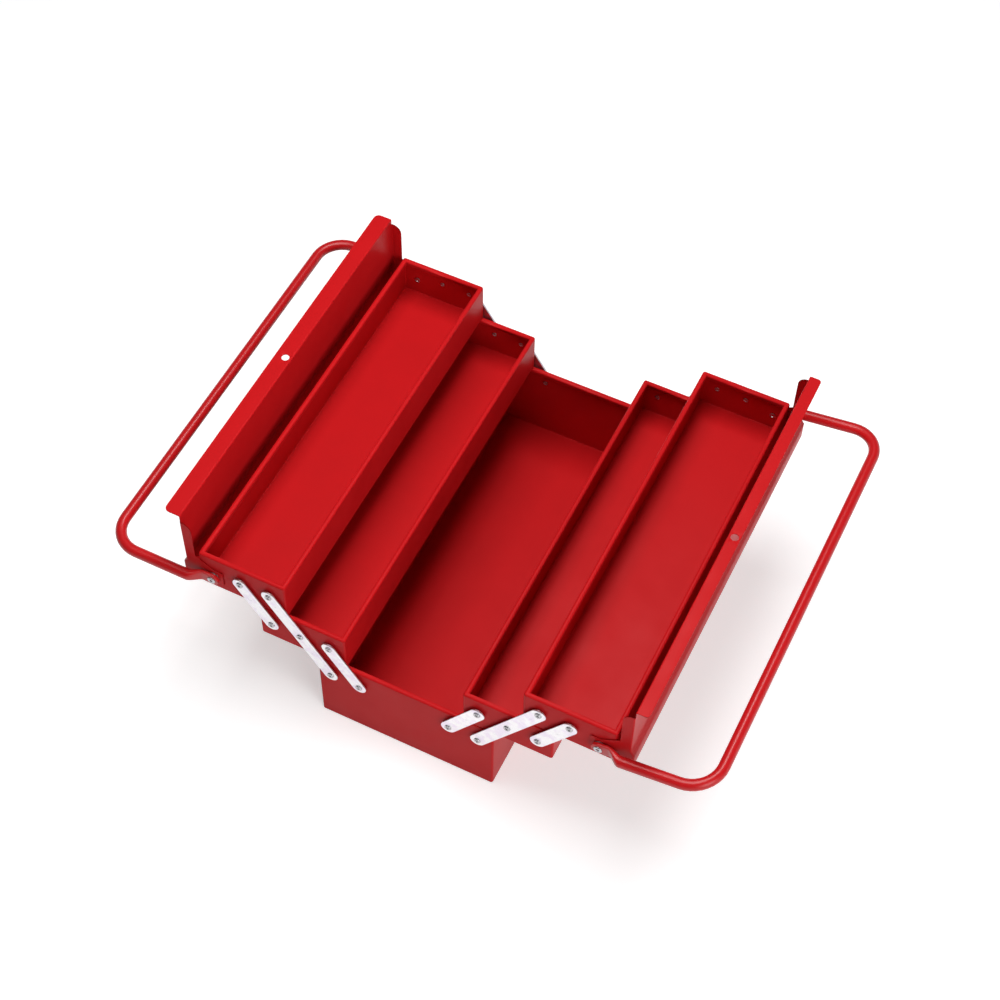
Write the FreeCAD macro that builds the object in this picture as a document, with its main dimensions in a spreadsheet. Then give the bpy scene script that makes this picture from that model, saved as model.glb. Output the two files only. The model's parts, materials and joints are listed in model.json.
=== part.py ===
import FreeCAD, Part
import math
import os
import Sketcher

# Cantilever tool box with five trays, standing open as in the photograph.
# +X runs to the right across the box, +Y along it to the back, +Z up.
# The origin is the centre of the bottom tray's underside. Lengths are in millimetres.

SIZES = {
    # Trays: folded steel sheet, rolled inwards round the rim into a channel open below
    "body_length": 450,
    "body_width": 204,
    "base_depth": 108.5,
    "tray_depth": 51.5,
    "tray_parting": 3,
    "stack_gap": 0.5,
    "tray_sheet": 0.8,
    "hem_depth": 6,
    "hem_width": 5.5,
    "hem_crown": 1.2,
    "tray_bend": 2,
    "hem_round": 1.8,
    # Levers: flat bars that swing the trays out
    "lever_pitch": 61.5,
    "lever_width": 16.4,
    "lever_thickness": 2,
    "lever_inset": 16.5,
    "lever_spacing": 33.5,
    "lever_pivot_rise": 29.5,
    "lever_edge": 0.3,
    "dimple_radius": 1.6,
    "dimple_depth": 0.4,
    # Rivets and washers of the levers
    "rivet_radius": 2,
    "rivet_head_radius": 3.8,
    "rivet_crown_radius": 2.8,
    "rivet_head_height": 1.3,
    "rivet_mouth_radius": 1.2,
    "rivet_mouth_depth": 0.9,
    "rivet_tail_radius": 3,
    "rivet_tail_height": 1,
    "washer_radius": 4.6,
    "washer_thickness": 1.5,
    "running_gap": 0.05,
    "open_pivot_gap": 0.1,
    "face_gap": 0.1,
    # Lids: shallow covers with a flange that takes the padlock
    "lid_inset": 16.5,
    "lid_pivot_rise": 21,
    "lid_sheet": 0.8,
    "lid_gap": 0.5,
    "lid_end_gap": 0.3,
    "lid_stop_gap": 0.2,
    "lid_edge_depth": 12,
    "lid_bend": 1.6,
    "cheek_start": 9,
    "cheek_corner": 11,
    "band_rise": 3.8,
    "band_flat": 5,
    "band_foot": 20,
    "flange_height_left": 18,
    "flange_height_right": 12.5,
    "flange_corner_left": 6,
    "flange_corner_right": 4,
    "flange_parting": 1,
    "padlock_hole_rise": 6.25,
    "padlock_hole_radius": 4.25,
    "tab_radius": 11,
    "tab_shoulder": 24,
    # Handles: round bar with flattened ends, on the lids' pivots
    "bar_radius": 6,
    "grip_reach": 120,
    "grip_bend": 32,
    "flat_thickness": 4,
    "flat_width": 15,
    "joggle_start": 10,
    "joggle_length": 16,
    "arm_gap": 0.3,
    "handle_rivet_radius": 2.5,
    "handle_rivet_head_radius": 4.6,
    "handle_rivet_crown_radius": 3.4,
    "handle_rivet_head_height": 1.3,
    "handle_rivet_mouth_radius": 1.5,
    "handle_rivet_tail_radius": 3.8,
    "handle_washer_radius": 6,
    "handle_washer_thickness": 1.2,
    # How far the cutters of the rivet holes reach past the wall on both sides
    "cut_overrun": 1,
}

# How closely an edge has to lie where it is looked for, in millimetres
CLOSE = 1e-6

# How far the right handle is swung up from level, as a share of a quarter turn: stiff rivets hold
# it there
RIGHT_HANDLE_LIFT_SHARE = 0.1

# Where the pressed dimples lie along a lever, as shares of the lever pitch from its lower pivot
SHORT_DIMPLE_SHARES = (0.64,)
LONG_DIMPLE_SHARES = (0.59, 1.77)

# The ends of the box and its sides, with the sign that each has along Y or X
ENDS = {"front": -1, "back": 1}
SIDES = {"left": -1, "right": 1}

# Places that follow from the sizes
RISE = "(sizes.tray_depth + sizes.stack_gap)"
LEAN = f"sqrt(sizes.lever_pitch ^ 2 - {RISE} ^ 2)"
LEAN_ANGLE = f"acos({RISE} / sizes.lever_pitch)"
HALF_LENGTH = "(sizes.body_length / 2)"
HALF_WIDTH = "(sizes.body_width / 2)"
TRAY_WIDTH = "((sizes.body_width - sizes.tray_parting) / 2)"
MIDDLE_BASE = "(sizes.base_depth + sizes.stack_gap)"
TOP_BASE = f"({MIDDLE_BASE} + {RISE})"
MIDDLE_EDGE = f"({HALF_WIDTH} + 2 * {LEAN})"
TOP_EDGE = f"({HALF_WIDTH} + 4 * {LEAN})"

# Pivots of the levers, measured inwards from the outer wall of the tray that carries them
LONG_ON_MIDDLE = f"(sizes.lever_inset + {LEAN})"
LONG_ON_TOP = f"(sizes.lever_inset + 2 * {LEAN})"
LOWER_ON_BASE = "(sizes.lever_inset + sizes.lever_spacing)"
LOWER_ON_MIDDLE = f"({LOWER_ON_BASE} + {LEAN})"
UPPER_ON_MIDDLE = f"({LONG_ON_MIDDLE} - sizes.lever_spacing)"
UPPER_ON_TOP = f"({UPPER_ON_MIDDLE} + {LEAN})"
BASE_PIVOT_RISE = "(sizes.base_depth - sizes.tray_depth + sizes.lever_pivot_rise)"

# Layers beside an end wall, measured outwards from the middle of the box
LEVER_FACE = f"({HALF_LENGTH} + sizes.washer_thickness + sizes.face_gap)"
LEVER_OUTER = f"({LEVER_FACE} + sizes.lever_thickness)"
LEVER_HEAD = f"({LEVER_OUTER} + sizes.face_gap)"
LEVER_HEAD_TOP = f"({LEVER_HEAD} + sizes.rivet_head_height)"
LID_END_INNER = f"({HALF_LENGTH} + sizes.lid_end_gap)"
LID_END_OUTER = f"({LID_END_INNER} + sizes.lid_sheet)"
HANDLE_WASHER_FACE = f"({LID_END_OUTER} + sizes.face_gap)"
FLAT_INNER = f"({HANDLE_WASHER_FACE} + sizes.handle_washer_thickness + sizes.face_gap)"
FLAT_OUTER = f"({FLAT_INNER} + sizes.flat_thickness)"
HANDLE_HEAD = f"({FLAT_OUTER} + sizes.face_gap)"
BAR_CENTRE = f"({LEVER_HEAD_TOP} + sizes.arm_gap + sizes.bar_radius)"
WALL_INNER = f"({HALF_LENGTH} - sizes.tray_sheet)"

# The lid about its pivot, as it lies when closed: X outwards, Z up
LID_TOP = "(sizes.tray_depth - sizes.lid_pivot_rise + sizes.lid_gap + sizes.lid_sheet)"
LID_OUTER = "(sizes.lid_inset + sizes.lid_gap + sizes.lid_sheet)"
LID_REACH = f"({HALF_WIDTH} - sizes.lid_inset - sizes.flange_parting / 2)"
BAND_TOP = f"({LID_TOP} + sizes.band_rise)"
LID_EDGE_LOW = f"({LID_TOP} - sizes.lid_edge_depth)"
LID_SKIRT_LOW = "(sizes.lid_inset + sizes.lid_stop_gap)"
CHEEK_INNER = f"(-{LID_REACH} + sizes.cheek_start)"

doc = FreeCAD.newDocument("tool_box")
sheet = doc.addObject("Spreadsheet::Sheet", "sizes")
for row, (alias, size) in enumerate(SIZES.items(), start=1):
    sheet.set(f"A{row}", str(size))
    sheet.setAlias(f"A{row}", alias)
doc.recompute()

nodes = []


def value(expression):
    """The number that an expression on the sheet gives."""
    result = sheet.evalExpression(expression)
    return result.Value if hasattr(result, "Value") else float(result)


def plane_of(body, role):
    """One of a body's own origin planes."""
    return next(feature for feature in body.Origin.OriginFeatures if feature.Role == role)


def new_body(label):
    """A named sub-part made of sketches and features."""
    body = doc.addObject("PartDesign::Body", label)
    body.Label = label
    nodes.append(body)
    return body


def place(item, x="0", y="0", z="0", rotation=None):
    """Puts a sub-part at a place that follows the sheet."""
    turned = rotation or FreeCAD.Rotation()
    item.Placement = FreeCAD.Placement(FreeCAD.Vector(), turned)
    for axis, expression in (("x", x), ("y", y), ("z", z)):
        item.setExpression(f"Placement.Base.{axis}", expression)


def sketch_on(body, role, offset):
    """A sketch parallel to an origin plane, at a distance along the plane's normal."""
    sketch = body.newObject("Sketcher::SketchObject", "sketch")
    sketch.AttachmentSupport = (plane_of(body, role), [""])
    sketch.MapMode = "FlatFace"
    sketch.setExpression("AttachmentOffset.Base.z", offset)
    return sketch


def pin_point(sketch, geometry, point, place_xy):
    """Holds one point of a sketch at the place that two expressions give."""
    for kind, expression in zip(("DistanceX", "DistanceY"), place_xy):
        index = sketch.addConstraint(
            Sketcher.Constraint(kind, -1, 1, geometry, point, value(expression))
        )
        sketch.setExpression(f"Constraints[{index}]", expression)


def add_outline(sketch, corners):
    """A closed outline of straight edges through corners given as expressions."""
    points = [FreeCAD.Vector(value(x), value(y)) for x, y in corners]
    lines = [Part.LineSegment(start, end) for start, end in zip(points, points[1:] + points[:1])]
    sides = sketch.addGeometry(lines)
    for side, following, corner in zip(sides, sides[1:] + sides[:1], corners):
        sketch.addConstraint(Sketcher.Constraint("Coincident", side, 2, following, 1))
        pin_point(sketch, side, 1, corner)


def add_rectangle(sketch, low, high):
    """A rectangle between two corners given as expressions."""
    corners = [low, (high[0], low[1]), high, (low[0], high[1])]
    add_outline(sketch, corners)


def add_circle(sketch, centre, radius):
    """A circle whose centre and radius are expressions."""
    middle = FreeCAD.Vector(value(centre[0]), value(centre[1]))
    circle = Part.Circle(middle, FreeCAD.Vector(0, 0, 1), value(radius))
    geometry = sketch.addGeometry(circle)
    pin_point(sketch, geometry, 3, centre)
    index = sketch.addConstraint(Sketcher.Constraint("Radius", geometry, value(radius)))
    sketch.setExpression(f"Constraints[{index}]", radius)


def add_slot(sketch, half_width, length):
    """A round-ended outline that runs up from the origin."""
    reach = value(half_width)
    foot = FreeCAD.Vector()
    crown = FreeCAD.Vector(0, value(length))
    normal = FreeCAD.Vector(0, 0, 1)
    side = FreeCAD.Vector(reach, 0)
    geometry = [
        Part.ArcOfCircle(Part.Circle(foot, normal, reach), math.pi, 2 * math.pi),
        Part.LineSegment(foot + side, crown + side),
        Part.ArcOfCircle(Part.Circle(crown, normal, reach), 0, math.pi),
        Part.LineSegment(crown - side, foot - side),
    ]
    lower, right, upper, left = sketch.addGeometry(geometry)
    joints = ((lower, 2, right, 1), (right, 2, upper, 1), (upper, 2, left, 1), (left, 2, lower, 1))
    for joint in joints:
        sketch.addConstraint(Sketcher.Constraint("Tangent", *joint))
    pin_point(sketch, lower, 3, ("0", "0"))
    pin_point(sketch, upper, 3, ("0", length))
    index = sketch.addConstraint(Sketcher.Constraint("Radius", lower, reach))
    sketch.setExpression(f"Constraints[{index}]", half_width)


def start_and_end(role, low, high, cutting):
    """Where a feature's sketch lies on its plane's normal so that it spans low to high."""
    if role == "XZ_Plane":
        return f"-{low}" if cutting else f"-{high}"
    return high if cutting else low


def extrude(body, role, low, high, draw, cutting=False):
    """A pad or a pocket from low to high along the axis square to an origin plane."""
    before = body.Shape.Volume if cutting else 0
    sketch = sketch_on(body, role, start_and_end(role, f"({low})", f"({high})", cutting))
    draw(sketch)
    kind = "PartDesign::Pocket" if cutting else "PartDesign::Pad"
    feature = body.newObject(kind, "cut" if cutting else "block")
    feature.Profile = sketch
    feature.Type = "Length"
    feature.setExpression("Length", f"({high}) - ({low})")
    sketch.Visibility = False
    doc.recompute()
    if cutting and body.Shape.Volume >= before:
        raise RuntimeError(f"{body.Label}: a cut removed nothing")
    return feature


def round_edges(body, radius, chosen, chamfer=False):
    """Rounds or bevels the edges for which chosen says yes."""
    tip = body.Tip
    picked = [f"Edge{i}" for i, edge in enumerate(tip.Shape.Edges, start=1) if chosen(edge)]
    kind = "PartDesign::Chamfer" if chamfer else "PartDesign::Fillet"
    feature = body.newObject(kind, "edges")
    feature.Base = (tip, picked)
    feature.setExpression("Size" if chamfer else "Radius", radius)
    doc.recompute()


def runs_along(edge, axis):
    """Whether an edge is straight and parallel to an axis."""
    if not isinstance(edge.Curve, Part.Line):
        return False
    direction = edge.Curve.Direction
    return abs(abs(getattr(direction, axis)) - 1) < CLOSE


def lies_at(edge, axis, level):
    """Whether the whole edge is at one place along an axis."""
    places = [getattr(vertex.Point, axis) for vertex in edge.Vertexes]
    return all(abs(place_here - level) < CLOSE for place_here in places)


def tray(label, inner, outer, depth, pivots):
    """An open tray whose side walls lie at inner and outer, with rivet holes in both ends."""
    body = new_body(label)

    def inset_rectangle(inset):
        low = (f"{inner} + {inset}", f"-{HALF_LENGTH} + {inset}")
        high = (f"{outer} - {inset}", f"{HALF_LENGTH} - {inset}")
        return lambda sketch: add_rectangle(sketch, low, high)

    extrude(body, "XY_Plane", "0", depth, inset_rectangle("0"))
    round_edges(
        body,
        "sizes.tray_bend",
        lambda edge: runs_along(edge, "z") or lies_at(edge, "z", 0),
    )
    hem_low = f"{depth} - sizes.hem_depth"
    hem_roof = f"{depth} - sizes.hem_crown"
    mouth = inset_rectangle("sizes.hem_width")
    wall_inside = inset_rectangle("sizes.tray_sheet")
    lip_outside = inset_rectangle("sizes.hem_width - sizes.tray_sheet")

    def hem_channel(sketch):
        wall_inside(sketch)
        lip_outside(sketch)

    extrude(body, "XY_Plane", "sizes.tray_sheet", depth, mouth, True)
    extrude(body, "XY_Plane", "sizes.tray_sheet", hem_low, wall_inside, True)
    # The rim is rounded before the channel is cut, because it fails over the hollow
    rim = value(depth)
    round_edges(body, "sizes.hem_round", lambda edge: lies_at(edge, "z", rim))
    extrude(body, "XY_Plane", hem_low, hem_roof, hem_channel, True)

    def rivet_holes(sketch):
        for x, z, radius in pivots:
            add_circle(sketch, (x, z), radius)

    near = f"{WALL_INNER} - sizes.cut_overrun"
    far = f"{HALF_LENGTH} + sizes.cut_overrun"
    for span in ((near, far), (f"-({far})", f"-({near})")):
        extrude(body, "XZ_Plane", *span, rivet_holes, True)
    return body


def moving_tray(label, side, edge, base, pivots):
    """A tray that a pair of levers carries, drawn with its outer wall at the origin."""
    sign = SIDES[side]
    holes = [(f"-{inset}", rise, radius) for inset, rise, radius in pivots]
    body = tray(label, f"-{TRAY_WIDTH}", "0", "sizes.tray_depth", holes)
    place(body, f"{sign} * {edge}", "0", base, facing(sign))
    return body


def facing(sign):
    """The turn that makes a piece drawn for the right side fit the side of this sign."""
    return FreeCAD.Rotation(FreeCAD.Vector(0, 0, 1), 0 if sign > 0 else 180)


def lever(label, side, end, x, z, steps, dimple_shares):
    """A flat bar on steps pitches of pivots, leaning outwards from its lowest pivot."""
    body = new_body(label)
    sign = SIDES[side]
    length = f"({steps} * sizes.lever_pitch)"
    faces = (LEVER_FACE, LEVER_OUTER)
    dimple_faces = (f"{LEVER_OUTER} - sizes.dimple_depth", f"{LEVER_OUTER}")
    if ENDS[end] < 0:
        faces = (f"-{faces[1]}", f"-{faces[0]}")
        dimple_faces = (f"-({dimple_faces[1]})", f"-({dimple_faces[0]})")
    extrude(
        body, "XZ_Plane", *faces, lambda sketch: add_slot(sketch, "sizes.lever_width / 2", length)
    )
    outer_level = value(LEVER_OUTER) * ENDS[end]
    round_edges(
        body, "sizes.lever_edge", lambda edge: lies_at(edge, "y", outer_level), chamfer=True
    )

    def pivot_holes(sketch):
        for step in range(steps + 1):
            gap = "sizes.open_pivot_gap" if step == 1 and steps == 1 else "sizes.running_gap"
            add_circle(sketch, ("0", f"{step} * sizes.lever_pitch"), f"sizes.rivet_radius + {gap}")

    def dimples(sketch):
        for share in dimple_shares:
            add_circle(sketch, ("0", f"{share} * sizes.lever_pitch"), "sizes.dimple_radius")

    extrude(body, "XZ_Plane", *faces, pivot_holes, True)
    extrude(body, "XZ_Plane", *dimple_faces, dimples, True)
    lean = FreeCAD.Rotation(FreeCAD.Vector(0, sign, 0), value(LEAN_ANGLE))
    place(body, f"{sign} * ({HALF_WIDTH} - {x})", "0", z, lean)
    body.setExpression("Placement.Rotation.Angle", LEAN_ANGLE)
    return body


def cylinder(radius, height, name):
    """A plain cylinder whose sizes follow the sheet."""
    solid = doc.addObject("Part::Cylinder", name)
    solid.setExpression("Radius", radius)
    solid.setExpression("Height", height)
    return solid


def cone(foot_radius, top_radius, height, name):
    """A blunt cone whose sizes follow the sheet."""
    solid = doc.addObject("Part::Cone", name)
    solid.setExpression("Radius1", foot_radius)
    solid.setExpression("Radius2", top_radius)
    solid.setExpression("Height", height)
    return solid


def outwards(sign):
    """The turn that points a solid's own Z out of the front or back end."""
    return FreeCAD.Rotation(FreeCAD.Vector(1, 0, 0), 90 if sign < 0 else -90)


def rivet(x, z, sign, head_level, kind):
    """A tubular rivet through an end wall, with a blunt head outside and a rolled tail inside."""
    size = f"sizes.{kind}"
    tail_level = f"({WALL_INNER} - sizes.rivet_tail_height)"
    shank = cylinder(f"{size}_radius", f"{head_level} - {tail_level}", "shank")
    head = cone(f"{size}_head_radius", f"{size}_crown_radius", f"{size}_head_height", "head")
    tail_foot = f"{size}_mouth_radius + {size}_radius / 2"
    tail = cone(tail_foot, f"{size}_tail_radius", "sizes.rivet_tail_height", "tail")
    mouth_level = f"({head_level} + {size}_head_height - sizes.rivet_mouth_depth)"
    mouth = cylinder(f"{size}_mouth_radius", "sizes.rivet_mouth_depth", "mouth")
    levels = ((shank, tail_level), (head, head_level), (tail, tail_level), (mouth, mouth_level))
    for solid, level in levels:
        place(solid, x, f"{sign} * {level}", z, outwards(sign))
    whole = doc.addObject("Part::MultiFuse", "rivet_body")
    whole.Shapes = [shank, head, tail]
    cut = doc.addObject("Part::Cut", "rivet")
    cut.Base = whole
    cut.Tool = mouth
    return cut


def washer(x, z, sign, radius, hole, near, thickness):
    """A flat ring on a rivet, whose inner face lies at near."""
    disc = cylinder(radius, thickness, "disc")
    bore = cylinder(hole, thickness, "bore")
    for solid in (disc, bore):
        place(solid, x, f"{sign} * {near}", z, outwards(sign))
    ring = doc.addObject("Part::Cut", "washer")
    ring.Base = disc
    ring.Tool = bore
    return ring


def group(label, solids):
    """Like pieces kept as separate solids under one name."""
    together = doc.addObject("Part::Compound", label)
    together.Label = label
    together.Links = solids
    nodes.append(together)
    return together


def lever_fasteners(tray_name, side, end, places):
    """The rivets on one end of a tray, and the washers that hold the levers off it."""
    sign = ENDS[end]
    rivets = [rivet(x, z, sign, LEVER_HEAD, "rivet") for x, z in places]
    washers = [
        washer(
            x, z, sign, "sizes.washer_radius", "sizes.rivet_radius", HALF_LENGTH,
            "sizes.washer_thickness",
        )
        for x, z in places
    ]
    stem = f"{tray_name}_{side}" if side else tray_name
    group(f"{stem}_rivets_{end}", rivets)
    group(f"{stem}_washers_{end}", washers)


def lid(label, side):
    """A lid drawn closed about its pivot, then turned open by a quarter.

    The band along its outer edge stands higher than the rest, because the tray's rim passes
    under it as the lid turns. The left lid's flange is the broader one.
    """
    body = new_body(label)
    whole = (f"-{LID_END_OUTER}", LID_END_OUTER)
    cheeks = (whole[:1] + (f"-{LID_END_INNER}",), (LID_END_INNER,) + whole[1:])
    top_low = f"({LID_TOP} - sizes.lid_sheet)"
    band_low = f"({BAND_TOP} - sizes.lid_sheet)"
    skirt_inner = f"({LID_OUTER} - sizes.lid_sheet)"
    flange_inner = f"(-{LID_REACH} + sizes.lid_sheet)"
    flange_top = f"({LID_TOP} + sizes.flange_height_{side})"
    section = [
        (f"-{LID_REACH}", top_low),
        ("-sizes.band_foot", top_low),
        ("-sizes.band_flat", band_low),
        (skirt_inner, band_low),
        (skirt_inner, LID_SKIRT_LOW),
        (LID_OUTER, LID_SKIRT_LOW),
        (LID_OUTER, BAND_TOP),
        ("-sizes.band_flat", BAND_TOP),
        ("-sizes.band_foot", LID_TOP),
        (flange_inner, LID_TOP),
        (flange_inner, flange_top),
        (f"-{LID_REACH}", flange_top),
    ]
    extrude(body, "XZ_Plane", *whole, lambda sketch: add_outline(sketch, section))
    plate = [
        (CHEEK_INNER, LID_TOP),
        (CHEEK_INNER, LID_EDGE_LOW),
        ("-sizes.tab_shoulder", LID_EDGE_LOW),
        ("-sizes.tab_radius", "0"),
        ("sizes.tab_radius", "0"),
        (LID_OUTER, LID_EDGE_LOW),
        (LID_OUTER, BAND_TOP),
        ("-sizes.band_flat", BAND_TOP),
        ("-sizes.band_foot", LID_TOP),
    ]
    for span in cheeks:
        extrude(body, "XZ_Plane", *span, lambda sketch: add_outline(sketch, plate))
        extrude(
            body, "XZ_Plane", *span,
            lambda sketch: add_circle(sketch, ("0", "0"), "sizes.tab_radius"),
        )
    pivot_hole = "sizes.handle_rivet_radius + sizes.running_gap"
    extrude(
        body, "XZ_Plane", *whole, lambda sketch: add_circle(sketch, ("0", "0"), pivot_hole), True
    )
    hole_centre = ("0", f"{LID_TOP} + sizes.padlock_hole_rise")
    extrude(
        body, "YZ_Plane", f"-{LID_REACH}", flange_inner,
        lambda sketch: add_circle(sketch, hole_centre, "sizes.padlock_hole_radius"), True,
    )
    inner_edge, outer_edge, top = value(CHEEK_INNER), value(LID_OUTER), value(BAND_TOP)
    edge_low, crest = value(LID_EDGE_LOW), value(flange_top)

    def is_fold(edge):
        along = runs_along(edge, "y")
        return along and lies_at(edge, "x", outer_edge) and lies_at(edge, "z", top)

    def is_cheek_corner(edge):
        along = runs_along(edge, "y")
        return along and lies_at(edge, "x", inner_edge) and lies_at(edge, "z", edge_low)

    def is_flange_corner(edge):
        return runs_along(edge, "x") and lies_at(edge, "z", crest)

    round_edges(body, "sizes.lid_bend", is_fold)
    round_edges(body, "sizes.cheek_corner", is_cheek_corner)
    round_edges(body, f"sizes.flange_corner_{side}", is_flange_corner)
    sign = SIDES[side]
    open_turn = FreeCAD.Rotation(FreeCAD.Vector(0, 1, 0), 90)
    place(
        body, f"{sign} * ({TOP_EDGE} - sizes.lid_inset)", "0",
        f"{TOP_BASE} + sizes.lid_pivot_rise", facing(sign).multiply(open_turn),
    )
    return body


def handle(label, side, lift):
    """A bent round bar drawn level about its pivot, its flattened ends on the rivets."""
    body = new_body(label)
    joggle_end = "(sizes.joggle_start + sizes.joggle_length)"
    path = sketch_on(body, "XY_Plane", "0")
    corner = value(f"{BAR_CENTRE} - sizes.grip_bend")
    arm_end = value("sizes.grip_reach - sizes.grip_bend")
    bend = value("sizes.grip_bend")
    side_level, reach = value(BAR_CENTRE), value("sizes.grip_reach")
    start = value(joggle_end)
    up = FreeCAD.Vector(0, 0, 1)
    quarter = math.pi / 2
    front_bend = Part.Circle(FreeCAD.Vector(arm_end, -corner), up, bend)
    back_bend = Part.Circle(FreeCAD.Vector(arm_end, corner), up, bend)
    wire = [
        Part.LineSegment(FreeCAD.Vector(start, -side_level), FreeCAD.Vector(arm_end, -side_level)),
        Part.ArcOfCircle(front_bend, -quarter, 0),
        Part.LineSegment(FreeCAD.Vector(reach, -corner), FreeCAD.Vector(reach, corner)),
        Part.ArcOfCircle(back_bend, 0, quarter),
        Part.LineSegment(FreeCAD.Vector(arm_end, side_level), FreeCAD.Vector(start, side_level)),
    ]
    front_arm, front_arc, grip, back_arc, back_arm = path.addGeometry(wire)
    path.addConstraint(Sketcher.Constraint("Tangent", front_arm, 2, front_arc, 1))
    path.addConstraint(Sketcher.Constraint("Tangent", front_arc, 2, grip, 1))
    path.addConstraint(Sketcher.Constraint("Tangent", grip, 2, back_arc, 1))
    path.addConstraint(Sketcher.Constraint("Tangent", back_arc, 2, back_arm, 1))
    pin_point(path, front_arm, 1, (joggle_end, f"-{BAR_CENTRE}"))
    pin_point(path, back_arm, 2, (joggle_end, BAR_CENTRE))
    bend_place = ("sizes.grip_reach - sizes.grip_bend", f"({BAR_CENTRE} - sizes.grip_bend)")
    pin_point(path, front_arc, 3, (bend_place[0], f"-{bend_place[1]}"))
    pin_point(path, back_arc, 3, bend_place)
    profile = sketch_on(body, "YZ_Plane", joggle_end)
    add_circle(profile, (f"-{BAR_CENTRE}", "0"), "sizes.bar_radius")
    bar = body.newObject("PartDesign::AdditivePipe", "bar")
    bar.Profile = profile
    bar.Spine = path
    doc.recompute()
    for sign in ENDS.values():
        joggle(body, sign, joggle_end)
        span = (FLAT_INNER, FLAT_OUTER) if sign > 0 else (f"-{FLAT_OUTER}", f"-{FLAT_INNER}")
        half = "sizes.flat_width / 2"
        extrude(
            body, "XZ_Plane", *span,
            lambda sketch: add_rectangle(sketch, ("0", f"-{half}"), ("sizes.joggle_start", half)),
        )
        extrude(
            body, "XZ_Plane", *span, lambda sketch: add_circle(sketch, ("0", "0"), half)
        )
    pivot_hole = "sizes.handle_rivet_radius + sizes.running_gap"
    extrude(
        body, "XZ_Plane", f"-{FLAT_OUTER}", FLAT_OUTER,
        lambda sketch: add_circle(sketch, ("0", "0"), pivot_hole), True,
    )
    sign = SIDES[side]
    lifted = FreeCAD.Rotation(FreeCAD.Vector(0, 1, 0), -lift)
    place(
        body, f"{sign} * ({TOP_EDGE} - sizes.lid_inset)", "0",
        f"{TOP_BASE} + sizes.lid_pivot_rise", facing(sign).multiply(lifted),
    )
    return body


def joggle(body, sign, joggle_end):
    """The stretch where the flattened end of a handle swells and steps out to the round bar."""
    flat_middle = f"(({FLAT_INNER} + {FLAT_OUTER}) / 2)"
    sections = []
    for offset, level, across, high in (
        ("sizes.joggle_start", flat_middle, "sizes.flat_thickness / 2", "sizes.flat_width / 2"),
        (joggle_end, BAR_CENTRE, "sizes.bar_radius", "sizes.bar_radius"),
    ):
        sketch = sketch_on(body, "YZ_Plane", offset)
        middle = FreeCAD.Vector(sign * value(level), 0)
        if across == high:
            add_circle(sketch, (f"{sign} * {level}", "0"), across)
        else:
            add_ellipse(sketch, middle, (f"{sign} * {level}", "0"), across, high)
        sections.append(sketch)
    loft = body.newObject("PartDesign::AdditiveLoft", "joggle")
    loft.Profile = sections[0]
    loft.Sections = sections[1:]
    doc.recompute()


def add_ellipse(sketch, middle, centre, across, high):
    """An upright ellipse with its centre and half axes given as expressions."""
    top = middle + FreeCAD.Vector(0, value(high))
    beside = middle - FreeCAD.Vector(value(across), 0)
    geometry = sketch.addGeometry(Part.Ellipse(top, beside, middle))
    sketch.exposeInternalGeometry(geometry)
    pin_point(sketch, geometry, 3, centre)
    major, minor = geometry + 1, geometry + 2
    sketch.addConstraint(Sketcher.Constraint("Vertical", major))
    for axis, half in ((major, high), (minor, across)):
        full = 2 * value(half)
        index = sketch.addConstraint(Sketcher.Constraint("Distance", axis, 1, axis, 2, full))
        sketch.setExpression(f"Constraints[{index}]", f"2 * {half}")


def build_base():
    """The fixed bottom tray with its rivets."""
    places = []
    for sign in SIDES.values():
        for inset in ("sizes.lever_inset", LOWER_ON_BASE):
            places.append((f"{sign} * ({HALF_WIDTH} - {inset})", BASE_PIVOT_RISE))
    holes = [(x, z, "sizes.rivet_radius") for x, z in places]
    tray("bottom_tray", f"-{HALF_WIDTH}", HALF_WIDTH, "sizes.base_depth", holes)
    for end in ENDS:
        lever_fasteners("bottom_tray", "", end, places)


def build_stage(name, side, edge, base, insets, extra_holes):
    """One moving tray with the rivets at its ends."""
    sign = SIDES[side]
    pivots = [(inset, "sizes.lever_pivot_rise", "sizes.rivet_radius") for inset in insets]
    moving_tray(f"{name}_{side}", side, edge, base, pivots + extra_holes)
    places = [
        (f"{sign} * ({edge} - {inset})", f"{base} + sizes.lever_pivot_rise") for inset in insets
    ]
    for end in ENDS:
        lever_fasteners(name, side, end, places)


def build_levers(side):
    """The long and the two short levers at each end of one side."""
    middle_z = f"{MIDDLE_BASE} + sizes.lever_pivot_rise"
    for end in ENDS:
        lever(
            f"long_lever_{side}_{end}", side, end, "sizes.lever_inset", BASE_PIVOT_RISE, 2,
            LONG_DIMPLE_SHARES,
        )
        lever(
            f"lower_lever_{side}_{end}", side, end, LOWER_ON_BASE, BASE_PIVOT_RISE, 1,
            SHORT_DIMPLE_SHARES,
        )
        lever(
            f"upper_lever_{side}_{end}", side, end, f"({UPPER_ON_MIDDLE} - 2 * {LEAN})", middle_z,
            1, SHORT_DIMPLE_SHARES,
        )


def build_lid_and_handle(side, lift):
    """The lid and the handle of one side, with the rivets that they share."""
    sign = SIDES[side]
    lid(f"lid_{side}", side)
    handle(f"handle_{side}", side, lift)
    x = f"{sign} * ({TOP_EDGE} - sizes.lid_inset)"
    z = f"{TOP_BASE} + sizes.lid_pivot_rise"
    for end, end_sign in ENDS.items():
        group(f"handle_rivet_{side}_{end}", [rivet(x, z, end_sign, HANDLE_HEAD, "handle_rivet")])
        group(
            f"handle_washer_{side}_{end}",
            [washer(x, z, end_sign, "sizes.handle_washer_radius", "sizes.handle_rivet_radius",
                    HANDLE_WASHER_FACE, "sizes.handle_washer_thickness")],
        )


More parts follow.
